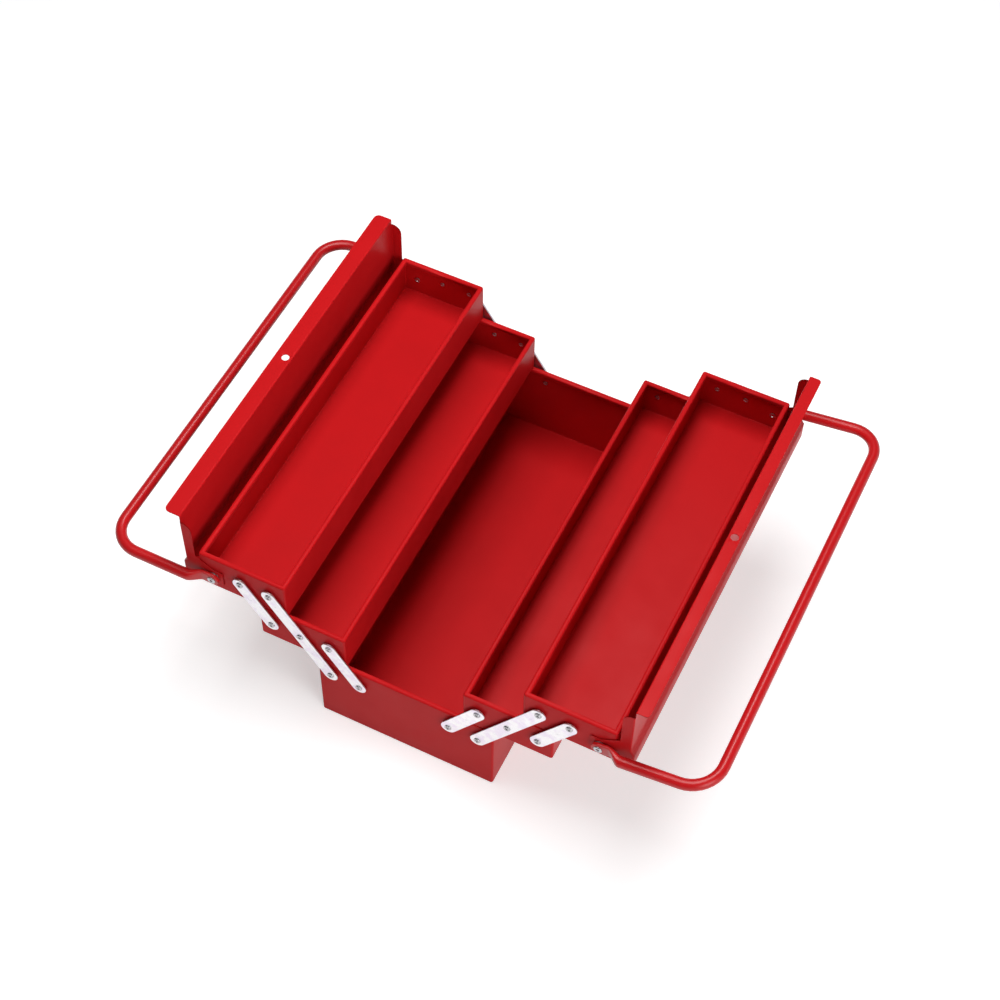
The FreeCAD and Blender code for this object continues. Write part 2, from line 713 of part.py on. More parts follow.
build_base()
lid_pivot = [("sizes.lid_inset", "sizes.lid_pivot_rise", "sizes.handle_rivet_radius")]
for side in SIDES:
    build_stage(
        "middle_tray", side, MIDDLE_EDGE, MIDDLE_BASE,
        [UPPER_ON_MIDDLE, LONG_ON_MIDDLE, LOWER_ON_MIDDLE], [],
    )
    build_stage("top_tray", side, TOP_EDGE, TOP_BASE, [UPPER_ON_TOP, LONG_ON_TOP], lid_pivot)
    build_levers(side)
    build_lid_and_handle(side, 90 * RIGHT_HANDLE_LIFT_SHARE if side == "right" else 0)
doc.recompute()

for item in doc.Objects:
    if "Invalid" in item.State or "Error" in item.State:
        raise RuntimeError(f"{item.Label} failed: {item.State}")
for node in nodes:
    if node.Shape.isNull() or not node.Shape.isValid():
        raise RuntimeError(f"{node.Label} has no valid shape")

os.makedirs("parts", exist_ok=True)
for node in nodes:
    node.Shape.exportStep(f"parts/{node.Label}.step")
print(len(nodes), "nodes; swing of the levers", round(2 * value(LEAN_ANGLE), 3), "degrees")
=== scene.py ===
"""A five-tray cantilever tool box of red stove-enamelled sheet, opened out, on a pale floor."""
import json
import math

import bmesh
import bpy
from bpy.props import FloatProperty, FloatVectorProperty, PointerProperty
from mathutils import Matrix, Vector


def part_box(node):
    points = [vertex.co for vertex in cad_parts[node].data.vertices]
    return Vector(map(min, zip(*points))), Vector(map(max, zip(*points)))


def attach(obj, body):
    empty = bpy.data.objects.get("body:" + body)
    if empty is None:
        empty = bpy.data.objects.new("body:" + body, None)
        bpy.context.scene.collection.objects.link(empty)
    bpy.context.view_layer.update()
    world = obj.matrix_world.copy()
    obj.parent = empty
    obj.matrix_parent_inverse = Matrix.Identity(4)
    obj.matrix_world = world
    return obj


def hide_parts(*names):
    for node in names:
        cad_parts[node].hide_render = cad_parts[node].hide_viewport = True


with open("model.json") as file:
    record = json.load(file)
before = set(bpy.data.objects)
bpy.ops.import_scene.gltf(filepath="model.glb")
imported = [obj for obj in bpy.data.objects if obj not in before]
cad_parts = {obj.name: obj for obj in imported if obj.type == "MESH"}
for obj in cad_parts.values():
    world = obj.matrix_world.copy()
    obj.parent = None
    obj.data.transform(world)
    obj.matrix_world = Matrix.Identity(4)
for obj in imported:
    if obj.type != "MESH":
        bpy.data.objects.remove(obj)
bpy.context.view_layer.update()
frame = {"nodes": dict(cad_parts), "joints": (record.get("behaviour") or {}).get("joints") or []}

bl_info = {
    "name": "Cantilever Tool Box",
    "version": (1, 0, 0),
    "blender": (4, 5, 0),
    "location": "View3D > Sidebar > Tool Box",
    "description": "Builds the trays, levers, lids and handles of a cantilever tool box",
    "category": "Object",
}

PIVOTS = {joint["name"]: Vector(joint["pos_m"]) for joint in frame["joints"]}
MM = 0.001

# Which way each side lies along X, and each end along Y
SIDES = {"left": -1, "right": 1}
ENDS = {"front": -1, "back": 1}

# How closely a corner or an edge has to lie where it is looked for, in metres
CLOSE = 1e-5

# Corners nearer to each other than this become one, in metres
MERGE = 1e-6

# A face looks along an axis when its normal's share that way is above this
FACING = 0.9

# Faces round a rivet, a bar and a padlock hole
RING_STEPS = 32


def length(name, description, default):
    """A size that a user may change, given in millimetres."""
    return FloatProperty(
        name=name, description=description, default=default * MM, min=0.0,
        unit="LENGTH", precision=5,
    )


def watts(name, description, default):
    """A lamp's power that a user may change, in watts."""
    return FloatProperty(
        name=name, description=description, default=default, min=0.0, unit="POWER",
    )


def colour(name, description, code):
    """A colour that a user may change, given as an sRGB hex value."""
    return FloatVectorProperty(
        name=name, description=description, default=linear(code), size=3,
        min=0.0, max=1.0, subtype="COLOR",
    )


def linear(code):
    """The linear colour of an sRGB hex value such as #C81B1F."""
    shares = [int(code[place:place + 2], 16) / 255 for place in (1, 3, 5)]
    return tuple(
        share / 12.92 if share <= 0.04045 else ((share + 0.055) / 1.055) ** 2.4
        for share in shares
    )


class TraySizes(bpy.types.PropertyGroup):
    """Sheet and folds of the five trays."""

    sheet: length("Sheet", "Thickness of the trays' steel sheet", 0.8)
    corner: length("Corner", "Outer radius of a tray's upright corners", 2.6)
    floor_bend: length("Floor bend", "Outer radius between a tray's floor and its walls", 2)
    hem_width: length("Hem width", "Width of the rim that is rolled inwards", 5.5)
    hem_depth: length("Hem depth", "How far the rolled rim reaches down inside a wall", 6)
    hem_round: length("Hem round", "Outer radius of the two bends along a rim", 2.3)


class LidSizes(bpy.types.PropertyGroup):
    """Sheet, folds and cut-outs of the two lids."""

    sheet: length("Sheet", "Thickness of the lids' steel sheet", 0.8)
    fold: length("Fold", "Outer radius of the folds round a lid", 1.6)
    left_flange: length("Left flange", "How far the left lid's flange stands up", 18)
    right_flange: length("Right flange", "How far the right lid's flange stands up", 12.5)
    left_corner: length("Left corner", "Radius of the left flange's two corners", 6)
    right_corner: length("Right corner", "Radius of the right flange's two corners", 4)
    cheek_start: length("Cheek start", "From a lid's inner edge to its end plates", 9)
    cheek_depth: length("Cheek depth", "How far a lid's end plates reach down", 12)
    cheek_corner: length("Cheek corner", "Radius of an end plate's free corner", 11)
    skirt_low: length("Skirt low edge", "Height of the outer edge's hem above the pivot", 16.7)
    band_rise: length("Band rise", "How far the band along the outer edge stands up", 3.8)
    band_flat: length("Band flat", "How far the raised band reaches inwards of the pivot", 5)
    band_foot: length("Band foot", "Where the band's slope meets the lid, from the pivot", 20)
    tab_radius: length("Tab radius", "Radius of the tab round the pivot", 11)
    tab_shoulder: length("Tab shoulder", "Where a tab leaves its end plate, from the pivot", 24)
    hole_rise: length("Hole rise", "From the lid's plate to the middle of the padlock hole", 6.25)
    hole_radius: length("Hole radius", "Radius of the padlock hole", 4.25)


class LeverSizes(bpy.types.PropertyGroup):
    """Section and pressed marks of the flat levers."""

    edge: length("Edge", "Chamfer along a lever's rolled edge", 0.3)
    dimple_radius: length("Dimple radius", "Radius of a pressed dimple", 1.7)
    dimple_depth: length("Dimple depth", "Depth of a pressed dimple", 0.5)
    short_dimple: FloatProperty(
        name="Short lever's dimple", default=0.64,
        description="Place of the dimple as a share of the pitch, from the lower pivot",
    )
    long_dimple_low: FloatProperty(
        name="Long lever's lower dimple", default=0.59,
        description="Place of the lower dimple as a share of the pitch, from the lowest pivot",
    )
    long_dimple_high: FloatProperty(
        name="Long lever's upper dimple", default=1.77,
        description="Place of the upper dimple as a share of the pitch, from the lowest pivot",
    )


class RivetSizes(bpy.types.PropertyGroup):
    """Heads, mouths and tails of the tubular rivets."""

    shank: length("Shank", "Radius of a lever rivet's shank", 2)
    head: length("Head", "Radius of a lever rivet's head", 3.8)
    mouth: length("Mouth", "Radius of the bore in a lever rivet's head", 1.45)
    tail: length("Tail", "Radius of a lever rivet's rolled tail", 3)
    handle_shank: length("Handle shank", "Radius of a handle rivet's shank", 2.5)
    handle_head: length("Handle head", "Radius of a handle rivet's head", 4.6)
    handle_mouth: length("Handle mouth", "Radius of the bore in a handle rivet's head", 1.7)
    handle_tail: length("Handle tail", "Radius of a handle rivet's rolled tail", 3.8)
    head_height: length("Head height", "Height of a rivet's head", 1.3)
    tail_height: length("Tail height", "Height of a rivet's tail", 1)


class HandleSizes(bpy.types.PropertyGroup):
    """Bar, bends and flattened ends of the two handles."""

    bar: length("Bar", "Radius of the round bar", 6)
    reach: length("Reach", "From the pivot to the middle of the grip", 120)
    bend: length("Bend", "Radius of the bend between an arm and the grip", 32)
    flat_thickness: length("Flat thickness", "Thickness of the flattened ends", 4)
    flat_width: length("Flat width", "Width of the flattened ends", 15)
    joggle_start: length("Joggle start", "Where a flattened end starts to swell", 10)
    joggle_end: length("Joggle end", "Where the bar is round again", 26)
    right_lift: FloatProperty(
        name="Right lift", description="How far the right handle is swung up from level",
        default=math.radians(9), subtype="ANGLE",
    )


class FinishColours(bpy.types.PropertyGroup):
    """Colours of the enamel and of the plating."""

    enamel: colour("Enamel", "Red of the stove enamel", "#C81B1F")
    enamel_thin: colour("Thin enamel", "Red where the enamel lies a little thinner", "#BE161A")
    zinc: colour("Zinc", "Bright zinc plate of the levers", "#E6E6E8")
    zinc_bloom: colour("Zinc bloom", "Faint lavender bloom in the zinc plate", "#DDD6E3")
    rivet_steel: colour("Rivet steel", "Plated steel of the rivets and washers", "#B4B3B6")
    floor: colour("Floor", "Pale floor under the box", "#E2E2E2")


class StageSizes(bpy.types.PropertyGroup):
    """Lamps and camera."""

    key_power: watts("Key power", "Power of the soft lamp over the box", 22)
    key_size: length("Key size", "Side of the soft lamp over the box", 1100)
    side_power: watts("Side power", "Power of the low soft lamp on the right", 15)
    side_size: length("Side size", "Side of the low soft lamp on the right", 1000)
    fill_power: watts("Fill power", "Power of the small lamp high behind the box", 11)
    fill_size: length("Fill size", "Side of the small lamp high behind the box", 500)
    lens: FloatProperty(
        name="Focal length", description="Focal length of the camera in millimetres",
        default=73.34, min=10.0, unit="CAMERA",
    )


# Materials


def add_node(tree, kind, inputs=None, links=None, **settings):
    """Adds a node, sets its settings and input values, and links outputs to its inputs."""
    node = tree.nodes.new(kind)
    for name, setting in settings.items():
        setattr(node, name, setting)
    for name, value in (inputs or {}).items():
        node.inputs[name].default_value = value
    for name, source in (links or {}).items():
        tree.links.new(source, node.inputs[name])
    return node


def new_material(name):
    """A material with an empty node tree and its output node."""
    material = bpy.data.materials.new(name)
    material.use_nodes = True
    tree = material.node_tree
    tree.nodes.clear()
    return material, tree, add_node(tree, "ShaderNodeOutputMaterial")


def per_metre(millimetres):
    """The scale of a noise on Object coordinates whose grains are this many millimetres wide."""
    return 1 / (millimetres * MM)


def rgba(values):
    """A colour with full opacity, as sockets take it."""
    return (*values, 1.0)


def enamel_red(tree, clouds, colours):
    """The enamel's colour, a little deeper in the clouds where the enamel is thinner."""
    red = add_node(
        tree, "ShaderNodeMix",
        {"A": rgba(colours.enamel), "B": rgba(colours.enamel_thin)},
        data_type="RGBA",
    )
    tree.links.new(clouds.outputs["Fac"], red.inputs["Factor"])
    return red.outputs["Result"]


def stove_enamel(name, colours):
    """Gloss stove enamel sprayed on steel sheet.

    Gives the eye a deep even red with a faint soft shine, broken up by orange peel.
    """
    material, tree, output = new_material(name)
    place = add_node(tree, "ShaderNodeTexCoord").outputs["Object"]
    # Clouds of thinner enamel, some 45 mm wide
    clouds = add_node(
        tree, "ShaderNodeTexNoise", {"Scale": per_metre(45), "Detail": 2.0}, {"Vector": place}
    )
    # Orange peel: real grains are about 1 mm wide, drawn at 2.4 mm so that they show
    peel = add_node(
        tree, "ShaderNodeTexNoise",
        {"Scale": per_metre(2.4), "Detail": 1.0, "Roughness": 0.4}, {"Vector": place},
    )
    peel_bump = add_node(
        tree, "ShaderNodeBump", {"Strength": 0.6, "Distance": 0.04 * MM},
        {"Height": peel.outputs["Fac"]},
    )
    # A little duller where the enamel is thinner
    haze = add_node(
        tree, "ShaderNodeMapRange",
        {"From Min": 0.3, "From Max": 0.7, "To Min": 0.3, "To Max": 0.38},
        {"Value": clouds.outputs["Fac"]},
    )
    # A specular level of 0.5 is usual; this one is matched to the real sheet's faint shine
    shader = add_node(
        tree, "ShaderNodeBsdfPrincipled", {"Specular IOR Level": 0.045},
        {
            "Base Color": enamel_red(tree, clouds, colours),
            "Roughness": haze.outputs["Result"], "Normal": peel_bump.outputs["Normal"],
        },
    )
    tree.links.new(shader.outputs["BSDF"], output.inputs["Surface"])
    return material


def handle_enamel(name, colours):
    """The same stove enamel on drawn round bar.

    Gives the eye a smoother red than the sheet's, with long clean highlights.
    """
    material, tree, output = new_material(name)
    place = add_node(tree, "ShaderNodeTexCoord").outputs["Object"]
    # Runs of the sprayed enamel, some 14 mm wide
    runs = add_node(
        tree, "ShaderNodeTexNoise", {"Scale": per_metre(14), "Detail": 2.0}, {"Vector": place}
    )
    bump = add_node(
        tree, "ShaderNodeBump", {"Strength": 0.2, "Distance": 0.1 * MM},
        {"Height": runs.outputs["Fac"]},
    )
    shader = add_node(
        tree, "ShaderNodeBsdfPrincipled",
        {"Roughness": 0.3, "Specular IOR Level": 0.35},
        {"Base Color": enamel_red(tree, runs, colours), "Normal": bump.outputs["Normal"]},
    )
    tree.links.new(shader.outputs["BSDF"], output.inputs["Surface"])
    return material


def zinc_plate(name, colours):
    """Bright zinc plate on rolled flat bar.

    Gives the eye a pale silver with a soft sheen, a faint lavender bloom and fine rolling marks.
    """
    material, tree, output = new_material(name)
    place = add_node(tree, "ShaderNodeTexCoord").outputs["Object"]
    bloom = add_node(
        tree, "ShaderNodeTexNoise", {"Scale": per_metre(9), "Detail": 2.0}, {"Vector": place}
    )
    silver = add_node(
        tree, "ShaderNodeMix",
        {"A": rgba(colours.zinc), "B": rgba(colours.zinc_bloom)},
        data_type="RGBA",
    )
    patches = add_node(
        tree, "ShaderNodeMapRange", {"From Min": 0.42, "From Max": 0.62},
        {"Value": bloom.outputs["Fac"]},
    )
    tree.links.new(patches.outputs["Result"], silver.inputs["Factor"])
    # Rolling marks: real ones are about 0.1 mm wide, drawn at 0.6 mm so that they show
    marks = add_node(
        tree, "ShaderNodeTexNoise", {"Scale": per_metre(0.6), "Detail": 1.0}, {"Vector": place}
    )
    sheen = add_node(
        tree, "ShaderNodeMapRange",
        {"From Min": 0.3, "From Max": 0.7, "To Min": 0.26, "To Max": 0.4},
        {"Value": marks.outputs["Fac"]},
    )
    bump = add_node(
        tree, "ShaderNodeBump", {"Strength": 0.15, "Distance": 0.02 * MM},
        {"Height": marks.outputs["Fac"]},
    )
    shader = add_node(
        tree, "ShaderNodeBsdfPrincipled", {"Metallic": 1.0},
        {
            "Base Color": silver.outputs["Result"], "Roughness": sheen.outputs["Result"],
            "Normal": bump.outputs["Normal"],
        },
    )
    tree.links.new(shader.outputs["BSDF"], output.inputs["Surface"])
    return material


def rivet_plate(name, colours):
    """Zinc plate on formed steel rivets and washers.

    Gives the eye small silver-grey heads, duller in the patches that the rivet set rubbed.
    """
    material, tree, output = new_material(name)
    place = add_node(tree, "ShaderNodeTexCoord").outputs["Object"]
    wear = add_node(
        tree, "ShaderNodeTexNoise", {"Scale": per_metre(1.6), "Detail": 2.0}, {"Vector": place}
    )
    rough = add_node(
        tree, "ShaderNodeMapRange",
        {"From Min": 0.3, "From Max": 0.7, "To Min": 0.22, "To Max": 0.42},
        {"Value": wear.outputs["Fac"]},
    )
    bump = add_node(
        tree, "ShaderNodeBump", {"Strength": 0.2, "Distance": 0.04 * MM},
        {"Height": wear.outputs["Fac"]},
    )
    shader = add_node(
        tree, "ShaderNodeBsdfPrincipled",
        {"Base Color": rgba(colours.rivet_steel), "Metallic": 1.0},
        {"Roughness": rough.outputs["Result"], "Normal": bump.outputs["Normal"]},
    )
    tree.links.new(shader.outputs["BSDF"], output.inputs["Surface"])
    return material


# The finish of each record slot: the material's name and the function that makes it
FINISHES = {
    "enamel_trays": ("stove_enamel_red", stove_enamel),
    "enamel_lids": ("stove_enamel_red", stove_enamel),
    "enamel_handles": ("stove_enamel_red_on_bar", handle_enamel),
    "plated_levers": ("zinc_plated_flat_bar", zinc_plate),
    "plated_rivets": ("zinc_plated_rivet", rivet_plate),
}


def finish_for(slot):
    """The material of a record slot, made on first use."""
    name, maker = FINISHES[slot]
    return bpy.data.materials.get(name) or maker(name, bpy.context.scene.tool_box_colours)


# Shared mesh steps


def move(mesh, verts, offset):
    """Shifts corners by an offset."""
    bmesh.ops.translate(mesh, verts=verts, vec=Vector(offset))


def extrude_edges(mesh, edges, offset=(0, 0, 0)):
    """Draws edges out by an offset and returns the new edges and corners."""
    grown = bmesh.ops.extrude_edge_only(mesh, edges=edges)["geom"]
    verts = [item for item in grown if isinstance(item, bmesh.types.BMVert)]
    edges = [item for item in grown if isinstance(item, bmesh.types.BMEdge)]
    move(mesh, verts, offset)
    return edges, verts


def swing_edges(mesh, edges, centre, axis, angle, steps):
    """Draws edges round an axis through a centre and returns the last ones."""
    verts = list(dict.fromkeys(vert for edge in edges for vert in edge.verts))
    last = bmesh.ops.spin(
        mesh, geom=edges + verts, cent=centre, axis=axis, dvec=(0, 0, 0), angle=angle,
        steps=steps, use_merge=False, use_duplicate=False,
    )["geom_last"]
    return [item for item in last if isinstance(item, bmesh.types.BMEdge)]


def round_off(mesh, edges, radius, segments):
    """Rounds edges."""
    bmesh.ops.bevel(
        mesh, geom=edges, offset=radius, offset_type="OFFSET", segments=segments,
        profile=0.5, affect="EDGES", clamp_overlap=True, material=-1,
    )


def round_corners(mesh, verts, radius, segments):
    """Rounds the corners of flat sheet."""
    bmesh.ops.bevel(
        mesh, geom=verts, offset=radius, offset_type="OFFSET", segments=segments,
        profile=0.5, affect="VERTICES", clamp_overlap=True, material=-1,
    )


def everything(mesh):
    """All corners, edges and faces of a mesh."""
    return mesh.verts[:] + mesh.edges[:] + mesh.faces[:]


def cut_across(mesh, axis, level):
    """Cuts a mesh's faces at a level of an axis and takes nothing away."""
    way = Vector([float(number == axis) for number in range(3)])
    bmesh.ops.bisect_plane(mesh, geom=everything(mesh), plane_co=way * level, plane_no=way)


def edges_at(verts):
    """The edges that meet at corners, each once."""
    return list(dict.fromkeys(edge for vert in verts for edge in vert.link_edges))


def all_at(edge, axis, level):
    """Whether both ends of an edge lie at one level of an axis."""
    return all(abs(vert.co[axis] - level) < CLOSE for vert in edge.verts)


def runs_along(edge, axis):
    """Whether an edge runs along an axis."""
    span = edge.verts[1].co - edge.verts[0].co
    return abs(abs(span[axis]) - span.length) < CLOSE


def block(low, high):
    """The mesh of a plain box between two corners."""
    mesh = bmesh.new()
    place = Matrix.Translation((low + high) / 2) @ Matrix.Diagonal((*(high - low), 1))
    bmesh.ops.create_cube(mesh, size=1, matrix=place)
    return mesh


def spun(profile):
    """A mesh turned from a profile of radius and height about its own Z."""
    mesh = bmesh.new()
    verts = [mesh.verts.new((radius, 0, height)) for radius, height in profile]
    edges = [mesh.edges.new(pair) for pair in zip(verts, verts[1:])]
    bmesh.ops.spin(
        mesh, geom=verts + edges, cent=(0, 0, 0), axis=(0, 0, 1), dvec=(0, 0, 0),
        angle=math.tau, steps=RING_STEPS, use_merge=True, use_duplicate=False,
    )
    bmesh.ops.remove_doubles(mesh, verts=mesh.verts, dist=MERGE)
    bmesh.ops.recalc_face_normals(mesh, faces=mesh.faces)
    return mesh


def face_outwards(x, y, z, sign):
    """The placing of a part drawn about +Z at a point of a front or back end."""
    turn = Matrix.Rotation(math.radians(90 if sign < 0 else -90), 4, "X")
    return Matrix.Translation((x, y, z)) @ turn


def add_piece(name, mesh, body, slot, nodes, sharp=None):
    """Makes a mesh a piece that rides on a body and stands for CAD nodes.

    Faces that meet at more than sharp degrees keep a hard edge between them.
    """
    data = bpy.data.meshes.new(name)
    mesh.to_mesh(data)
    mesh.free()
    data.shade_smooth()
    if sharp:
        data.set_sharp_from_angle(angle=math.radians(sharp))
    data.materials.append(finish_for(slot))
    piece = bpy.data.objects.new(name, data)
    bpy.context.scene.collection.objects.link(piece)
    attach(piece, body)
    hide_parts(*nodes)
    return piece


def thicken(piece, sheet):
    """Gives folded sheet its thickness inwards, and shades it by its broad faces."""
    wall = piece.modifiers.new("sheet thickness", "SOLIDIFY")
    wall.thickness = sheet
    wall.offset = -1
    wall.use_even_offset = True
    shade = piece.modifiers.new("broad faces", "WEIGHTED_NORMAL")
    shade.keep_sharp = True


def pitch(side):
    """From one pivot of a lever to the next."""
    return (PIVOTS[f"{side}_top_tray_level"] - PIVOTS[f"{side}_trays_swing"]) / 2


# Trays

# Faces round an upright corner, across the floor's bend and across each bend of the rim
CORNER_STEPS = 5
FLOOR_BEND_STEPS = 4
RIM_STEPS = 5

# An inset as narrow as this only steps down, so that its wall stands upright, in metres
UPRIGHT_INSET = 1e-6


def roll_inwards(mesh, opening, fold, first, last):
    """Takes the rim of an opening through part of a half turn, between two angles in degrees."""
    for step in range(RIM_STEPS):
        before, after = (
            math.radians(first + (last - first) * place / RIM_STEPS)
            for place in (step, step + 1)
        )
        bmesh.ops.inset_individual(
            mesh, faces=opening, thickness=fold * (math.cos(before) - math.cos(after)),
            depth=fold * (math.sin(after) - math.sin(before)), use_even_offset=True,
        )


def face_over(mesh, level):
    """The flat face that closes a tray's mouth at a level, in a list as the steps take it."""
    flat = [
        face for face in mesh.faces if all(abs(vert.co.z - level) < CLOSE for vert in face.verts)
    ]
    return [max(flat, key=lambda face: face.calc_area())]


def close_corners(mesh, low, high, inset):
    """Draws each rounded corner of a rim's crest into one point, from which it goes on mitred."""
    for x in (low.x + inset, high.x - inset):
        for y in (low.y + inset, high.y - inset):
            point = Vector((x, y, high.z))
            corner = [
                vert for vert in mesh.verts
                if abs(vert.co.z - high.z) < CLOSE and (vert.co - point).length < inset
            ]
            bmesh.ops.pointmerge(mesh, verts=corner, merge_co=point)


def folded_tray(low, high, sizes):
    """An open tray folded from sheet, its rim rolled inwards into a channel open below."""
    fold = sizes.hem_round
    top = high.z - fold
    mesh = block(low, Vector((high.x, high.y, top)))
    upright = [edge for edge in mesh.edges if runs_along(edge, 2)]
    round_off(mesh, upright, sizes.corner, CORNER_STEPS)
    floor_edges = [
        edge for edge in mesh.edges
        if all_at(edge, 2, low.z) and not runs_along(edge, 2)
    ]
    round_off(mesh, floor_edges, sizes.floor_bend, FLOOR_BEND_STEPS)
    opening = face_over(mesh, top)
    roll_inwards(mesh, opening, fold, 0, 90)
    close_corners(mesh, low, high, fold)
    opening = face_over(mesh, high.z)
    bmesh.ops.inset_individual(
        mesh, faces=opening, thickness=sizes.hem_width - 2 * fold, use_even_offset=True
    )
    roll_inwards(mesh, opening, fold, 90, 180)
    bmesh.ops.inset_individual(
        mesh, faces=opening, thickness=UPRIGHT_INSET, depth=fold - sizes.hem_depth,
        use_even_offset=True,
    )
    bmesh.ops.delete(mesh, geom=opening, context="FACES")
    return mesh


TRAYS = ["bottom_tray"] + [
    f"{stage}_tray_{side}" for stage in ("middle", "top") for side in SIDES
]


class TOOLBOX_OT_trays(bpy.types.Operator):
    """Fold the bottom tray and the four trays that swing out"""

    bl_idname = "toolbox.trays"
    bl_label = "Trays"

    def execute(self, context):
        sizes = context.scene.tool_box_trays
        for tray in TRAYS:
            piece = add_piece(
                f"{tray}_sheet", folded_tray(*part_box(tray), sizes), f"{tray}_body",
                "enamel_trays", [tray],
            )
            thicken(piece, sizes.sheet)
        return {"FINISHED"}


# Lids

# Faces across a fold, round an end plate's corners and round the flange's corners
LID_FOLD_STEPS = 4
PLATE_CORNER_STEPS = 8
FLANGE_CORNER_STEPS = 6

# Edges that turn by more than this are folds, in radians; those of the band's slope turn less
FOLDED = 1.0

# A tab's foot is rounded by this share of its radius, so that it is nearly a half circle
TAB_ROUND = 0.97

# Half the width of the strip that is opened for the padlock hole, in radii of the hole
HOLE_STRIP = 2.4


def lid_shell(root, outer, low, top, half_length, inner, sizes):
    """A lid's plate, outer edge and end plates, folded from a box open below and inwards."""
    mesh = block(Vector((root, -half_length, low)), Vector((outer, half_length, top)))
    # Lines across the lid where its end plates, the band and the tabs begin
    for level in (
        inner, -sizes.band_foot, -sizes.band_flat, -sizes.tab_shoulder,
        -sizes.tab_radius, sizes.tab_radius,
    ):
        cut_across(mesh, 0, level)
    open_faces = [
        face for face in mesh.faces
        if face.normal.z < -FACING or face.normal.x < -FACING
    ]
    bmesh.ops.delete(mesh, geom=open_faces, context="FACES_ONLY")
    bmesh.ops.delete(
        mesh, geom=[edge for edge in mesh.edges if not edge.link_faces], context="EDGES"
    )
    crown = [
        vert for vert in mesh.verts
        if vert.co.z > top - CLOSE and vert.co.x > -sizes.band_flat - CLOSE
    ]
    move(mesh, crown, (0, 0, sizes.band_rise))
    skirt = [
        vert for vert in mesh.verts
        if vert.co.z < top - CLOSE and vert.co.x > outer - CLOSE
    ]
    move(mesh, skirt, (0, 0, sizes.skirt_low - low))
    folds = [
        edge for edge in mesh.edges
        if len(edge.link_faces) == 2 and edge.calc_face_angle() > FOLDED
    ]
    round_off(mesh, folds, sizes.fold, LID_FOLD_STEPS)
    # The end plates stop short of the flange
    notches = [
        face for face in mesh.faces
        if face.calc_center_median().x < inner
        and abs(face.calc_center_median().y) > half_length - sizes.fold
    ]
    bmesh.ops.delete(mesh, geom=notches, context="FACES")
    return mesh


def add_tab(mesh, y, inner, low, foot_low, sizes):
    """Draws an end plate down round the pivot and rounds its free corner."""
    shoulder = [
        edge for edge in mesh.edges
        if edge.is_boundary and all_at(edge, 1, y)
        and all(vert.co.x > -sizes.tab_shoulder - CLOSE for vert in edge.verts)
        and all(vert.co.z < low + CLOSE for vert in edge.verts)
    ]
    waist, waist_verts = extrude_edges(mesh, shoulder)
    lowest = min(vert.co.x for vert in waist_verts)
    highest = max(vert.co.x for vert in waist_verts)
    for vert in waist_verts:
        share = (vert.co.x - lowest) / (highest - lowest)
        vert.co.x = sizes.tab_radius * (2 * share - 1)
        vert.co.z = 0
    _, foot_verts = extrude_edges(mesh, waist, (0, 0, foot_low))
    foot_ends = [
        vert for vert in foot_verts if abs(abs(vert.co.x) - sizes.tab_radius) < CLOSE
    ]
    round_corners(mesh, foot_ends, sizes.tab_radius * TAB_ROUND, PLATE_CORNER_STEPS)
    free = [
        vert for vert in mesh.verts
        if abs(vert.co.y - y) < CLOSE and abs(vert.co.x - inner) < CLOSE
        and abs(vert.co.z - low) < CLOSE
    ]
    round_corners(mesh, free, sizes.cheek_corner, PLATE_CORNER_STEPS)


def folded_lid(reach, outer, tab_low, crest, half_length, flange, flange_corner, sizes):
    """A lid drawn closed about its pivot: X points outwards and Z up.

    It goes from -reach to outer along X, and from its tabs' tab_low to its flange's crest.
    """
    top = crest - flange
    cheek_low = top - sizes.cheek_depth
    cheek_inner = sizes.cheek_start - reach
    # Two sheets in from the edge: one for the radius of the flange's bend, one for its wall
    root = -reach + sizes.sheet * 2
    mesh = lid_shell(root, outer, cheek_low, top, half_length, cheek_inner, sizes)
    # Flange: turned up through a tight bend along the inner edge
    root_edges = [
        edge for edge in mesh.edges
        if edge.is_boundary and all_at(edge, 0, root) and all_at(edge, 2, top)
    ]
    bend_edges = swing_edges(
        mesh, root_edges, (root, 0, top + sizes.sheet), (0, 1, 0), math.radians(90),
        LID_FOLD_STEPS,
    )
    _, tip_verts = extrude_edges(mesh, bend_edges, (0, 0, flange - sizes.sheet))
    flange_x = tip_verts[0].co.x
    for end in ENDS.values():
        add_tab(mesh, end * half_length, cheek_inner, cheek_low, tab_low, sizes)
    tips = [
        vert for vert in mesh.verts
        if abs(vert.co.z - crest) < CLOSE and abs(vert.co.y) > half_length - 3 * sizes.fold
    ]
    round_corners(mesh, tips, flange_corner, FLANGE_CORNER_STEPS)
    padlock_hole(mesh, flange_x, top + sizes.hole_rise, sizes.hole_radius)
    bmesh.ops.recalc_face_normals(mesh, faces=mesh.faces)
    plate = max(mesh.faces, key=lambda face: face.calc_area())
    if plate.normal.z < 0:
        bmesh.ops.reverse_faces(mesh, faces=mesh.faces)
    return mesh


def padlock_hole(mesh, x, z, radius):
    """Cuts the padlock hole through the middle of a lid's flange."""
    centre = Vector((x, 0, z))
    for level in (-HOLE_STRIP * radius, HOLE_STRIP * radius):
        cut_across(mesh, 1, level)
    middle = [
        face for face in mesh.faces
        if abs(face.normal.x) > FACING
        and (face.calc_center_median() - centre).length < radius
    ]
    rim = [edge for face in middle for edge in face.edges]
    bmesh.ops.delete(mesh, geom=middle, context="FACES_ONLY")
    ring = bmesh.ops.create_circle(
        mesh, cap_ends=False, radius=radius, segments=RING_STEPS,
        matrix=Matrix.Translation(centre) @ Matrix.Rotation(math.radians(90), 4, "Y"),
    )
    bmesh.ops.triangle_fill(
        mesh, edges=rim + edges_at(ring["verts"]), use_beauty=True, use_dissolve=False
    )


